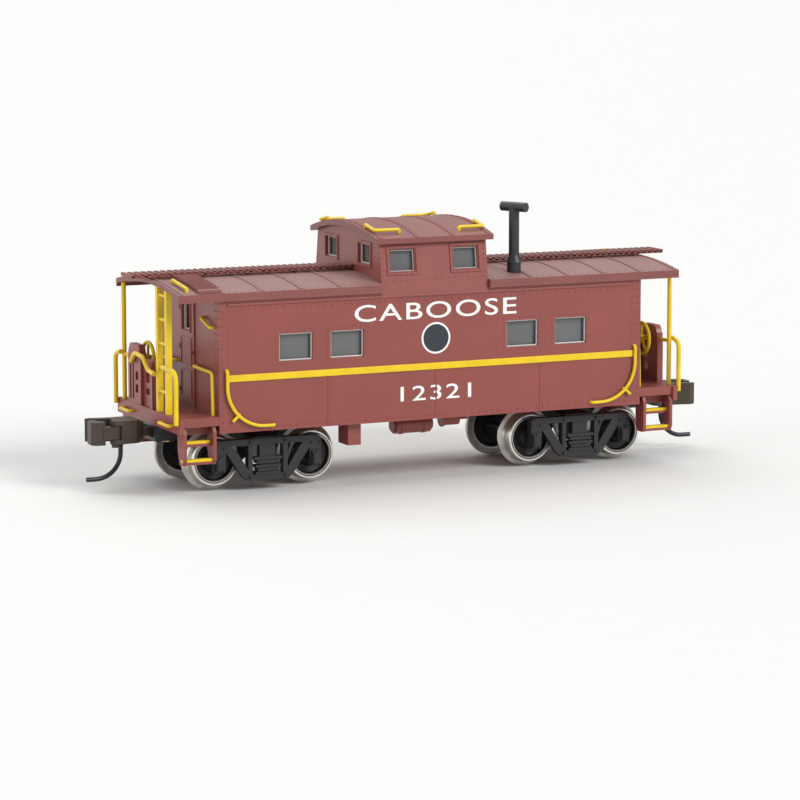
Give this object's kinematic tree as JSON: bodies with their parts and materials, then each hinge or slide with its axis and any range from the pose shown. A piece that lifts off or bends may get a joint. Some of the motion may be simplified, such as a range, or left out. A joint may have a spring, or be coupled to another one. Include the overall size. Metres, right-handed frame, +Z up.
{
  "type": "model railway caboose",
  "caption": "N scale model caboose with a cupola, end platforms, ladders, grab irons, swivelling trucks with rolling wheelsets, and sprung knuckle couplers.",
  "frame": {"origin": "on the car's vertical centre line, level with the lowest points of the wheel flanges", "axes": "+X along the car towards end b, +Y across it, +Z up; a half turn about Z brings the ends into each other's place, but for the smoke jack and the gear under the floor"},
  "size_m": [0.0732, 0.0188, 0.0295],
  "materials": {
    "body_red": "satin",
    "roof_red": "satin",
    "rail_yellow": "satin",
    "black_plastic": "matt",
    "truck_grey": "matt",
    "wheel_metal": "blackened",
    "axle_steel": "bright",
    "coupler_brown": "matt",
    "trip_steel": "blackened",
    "screw_brass": "turned",
    "spring_bronze": "bright",
    "ballast_steel": "raw",
    "window_clear": "clear"
  },
  "bodies": {
    "car_body": {"air_reservoir": "body_red", "ballast_weight": "ballast_steel", "body_shell": "body_red", "brake_cylinder": "body_red", "brake_stand_a": "body_red", "brake_stand_b": "body_red", "brake_wheel_a": "rail_yellow", "brake_wheel_b": "rail_yellow", "centring_springs": "spring_bronze", "corner_boards": "roof_red", "corner_handrails": "rail_yellow", "coupler_box_a": "black_plastic", "coupler_box_b": "black_plastic", "coupler_box_screws": "screw_brass", "cupola_glazing": "window_clear", "cupola_roof": "roof_red", "cupola_shell": "body_red", "door_glazing": "window_clear", "end_platform_a": "body_red", "end_platform_b": "body_red", "end_rails": "rail_yellow", "end_wall_irons": "rail_yellow", "ladder_a": "rail_yellow", "ladder_b": "rail_yellow", "roof": "roof_red", "roof_grab_irons": "rail_yellow", "roof_posts": "rail_yellow", "running_board_a": "roof_red", "running_board_b": "roof_red", "side_glazing": "window_clear", "side_grab_irons": "rail_yellow", "sill_grab_irons": "rail_yellow", "smoke_jack": "black_plastic", "step_edges": "rail_yellow", "step_well_back_a": "body_red", "step_well_back_b": "body_red", "step_well_front_a": "body_red", "step_well_front_b": "body_red", "tool_box": "body_red", "truck_screws": "screw_brass", "underframe": "body_red"},
    "truck_a": {"truck_frame_a": "truck_grey"},
    "truck_b": {"truck_frame_b": "truck_grey"},
    "wheelset_1": {"axle_1": "axle_steel", "wheels_1": "wheel_metal"},
    "wheelset_2": {"axle_2": "axle_steel", "wheels_2": "wheel_metal"},
    "wheelset_3": {"axle_3": "axle_steel", "wheels_3": "wheel_metal"},
    "wheelset_4": {"axle_4": "axle_steel", "wheels_4": "wheel_metal"},
    "coupler_a": {"coupler_head_a": "coupler_brown"},
    "coupler_b": {"coupler_head_b": "coupler_brown"},
    "knuckle_a": {"coupler_knuckle_a": "coupler_brown", "knuckle_pin_a": "trip_steel", "trip_pin_a": "trip_steel"},
    "knuckle_b": {"coupler_knuckle_b": "coupler_brown", "knuckle_pin_b": "trip_steel", "trip_pin_b": "trip_steel"}
  },
  "joints": [
    {"name": "truck_a_swivel", "type": "hinge", "parent": "car_body", "child": "truck_a", "pos_m": [-0.0187, 0, 0.0064], "axis": [0, 0, 1], "range_deg": [-7, 7]},
    {"name": "truck_b_swivel", "type": "hinge", "parent": "car_body", "child": "truck_b", "pos_m": [0.0187, 0, 0.0064], "axis": [0, 0, 1], "range_deg": [-7, 7]},
    {"name": "wheelset_1_roll", "type": "hinge", "parent": "truck_a", "child": "wheelset_1", "pos_m": [-0.0242, 0, 0.00325], "axis": [0, 1, 0], "continuous": true},
    {"name": "wheelset_2_roll", "type": "hinge", "parent": "truck_a", "child": "wheelset_2", "pos_m": [-0.0132, 0, 0.00325], "axis": [0, 1, 0], "continuous": true},
    {"name": "wheelset_3_roll", "type": "hinge", "parent": "truck_b", "child": "wheelset_3", "pos_m": [0.0132, 0, 0.00325], "axis": [0, 1, 0], "continuous": true},
    {"name": "wheelset_4_roll", "type": "hinge", "parent": "truck_b", "child": "wheelset_4", "pos_m": [0.0242, 0, 0.00325], "axis": [0, 1, 0], "continuous": true},
    {"name": "coupler_a_swing", "type": "hinge", "parent": "car_body", "child": "coupler_a", "pos_m": [-0.0274, 0, 0.0061], "axis": [0, 0, 1], "range_deg": [-12, 12], "stiffness_Nm_per_rad": 0.0004},
    {"name": "coupler_b_swing", "type": "hinge", "parent": "car_body", "child": "coupler_b", "pos_m": [0.0274, 0, 0.0061], "axis": [0, 0, 1], "range_deg": [-12, 12], "stiffness_Nm_per_rad": 0.0004},
    {"name": "knuckle_a_open", "type": "hinge", "parent": "coupler_a", "child": "knuckle_a", "pos_m": [-0.0337, -0.00115, 0.0061], "axis": [0, 0, 1], "range_deg": [0, 25], "stiffness_Nm_per_rad": 0.0002},
    {"name": "knuckle_b_open", "type": "hinge", "parent": "coupler_b", "child": "knuckle_b", "pos_m": [0.0337, 0.00115, 0.0061], "axis": [0, 0, 1], "range_deg": [0, 25], "stiffness_Nm_per_rad": 0.0002}
  ]
}
